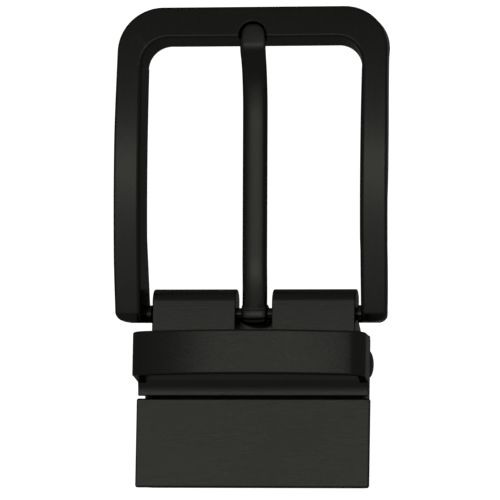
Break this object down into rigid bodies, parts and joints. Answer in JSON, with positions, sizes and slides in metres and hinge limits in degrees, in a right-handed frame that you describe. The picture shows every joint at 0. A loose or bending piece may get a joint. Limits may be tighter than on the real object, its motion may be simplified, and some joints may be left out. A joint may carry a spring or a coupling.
{
  "type": "belt buckle",
  "caption": "Black clamp-on belt buckle with an arched frame, a swinging prong, a strap keeper loop and a hinged clamp that grips the end of a dress strap.",
  "frame": {"origin": "bottom centre of the buckle's bounding box, on the plane of the clamp's back face", "axes": "+Y along the strap from the clamp to the top bar, +X across the strap to the wearer's left when the buckle is seen from the front with the top bar up, +Z out of the front face, away from the wearer"},
  "size_m": [0.0452, 0.0783, 0.016],
  "materials": {
    "frame_metal": "satin black plating, brushed along the rails",
    "prong_metal": "satin black plating",
    "clamp_metal": "satin black plating over a die casting",
    "keeper_metal": "satin black plating, brushed across the strap",
    "lid_metal": "satin black plating, finely brushed across the strap",
    "pin_metal": "smooth black nickel"
  },
  "bodies": {
    "clamp": {"clamp_body": "clamp_metal", "keeper": "keeper_metal", "keeper_rivets": "pin_metal", "lid_pin": "pin_metal"},
    "frame": {"frame": "frame_metal", "hinge_axle": "pin_metal", "axle_washers": "pin_metal"},
    "prong": {"prong": "prong_metal"},
    "lid": {"clamp_lid": "lid_metal"}
  },
  "joints": [
    {"name": "frame_swing", "type": "hinge", "parent": "clamp", "child": "frame", "pos_m": [0, -0.01065, 0.0053], "axis": [1, 0, 0], "range_deg": [-15, 32]},
    {"name": "prong_swing", "type": "hinge", "parent": "frame", "child": "prong", "pos_m": [0, -0.01065, 0.0053], "axis": [1, 0, 0], "range_deg": [0, 60]},
    {"name": "lid_open", "type": "hinge", "parent": "clamp", "child": "lid", "pos_m": [0, -0.0255, 0.005], "axis": [-1, 0, 0], "range_deg": [0, 80]}
  ]
}
